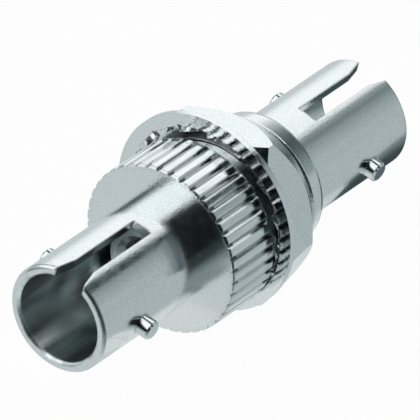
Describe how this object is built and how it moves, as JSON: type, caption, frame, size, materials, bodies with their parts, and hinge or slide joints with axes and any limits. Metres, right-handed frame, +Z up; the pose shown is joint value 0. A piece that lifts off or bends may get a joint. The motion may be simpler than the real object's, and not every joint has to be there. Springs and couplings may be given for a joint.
{
  "type": "st fibre adapter",
  "caption": "Metal ST to ST fibre adapter: slotted bayonet barrels on both ends of a knurled flange and threaded shank, with lock washer, hexagon nut and an alignment sleeve inside.",
  "frame": {"origin": "on the ferrule axis, in the plane where the two ferrules meet, the middle of the alignment sleeve", "axes": "+X along the ferrule axis towards the rear socket, past the nut; the knurled flange and front socket are on the -X side; +Z up, away from the surface that the adapter lies on, square to a flat of the nut"},
  "size_m": [0.0303, 0.0132, 0.0131],
  "materials": {
    "housing_nickel": "bright nickel plate, turned",
    "barrel_nickel": "bright nickel plate, turned",
    "cup_nickel": "nickel plate, turned",
    "pin_nickel": "bright nickel plate",
    "nut_nickel": "bright nickel plate, milled flats",
    "washer_steel": "stamped and nickel plated",
    "sleeve_bronze": "drawn phosphor bronze"
  },
  "bodies": {
    "housing": {"flange_housing": "housing_nickel", "rear_barrel": "barrel_nickel", "front_sleeve_cup": "cup_nickel", "rear_sleeve_cup": "cup_nickel", "alignment_sleeve": "sleeve_bronze", "front_pin_left": "pin_nickel", "front_pin_right": "pin_nickel", "rear_pin_left": "pin_nickel", "rear_pin_right": "pin_nickel"},
    "washer": {"lock_washer": "washer_steel"},
    "nut": {"hex_nut": "nut_nickel"}
  },
  "joints": [
    {"name": "washer_travel", "type": "slide", "parent": "housing", "child": "washer", "axis": [1, 0, 0], "range_m": [0, 0.004]},
    {"name": "nut_turn", "type": "hinge", "parent": "washer", "child": "nut", "pos_m": [0, 0, 0], "axis": [1, 0, 0], "range_deg": [0, 1815]}
  ],
  "couplings": [
    {"joint": "nut_turn", "follows": "washer_travel", "rad_per_m": 7915.8}
  ]
}
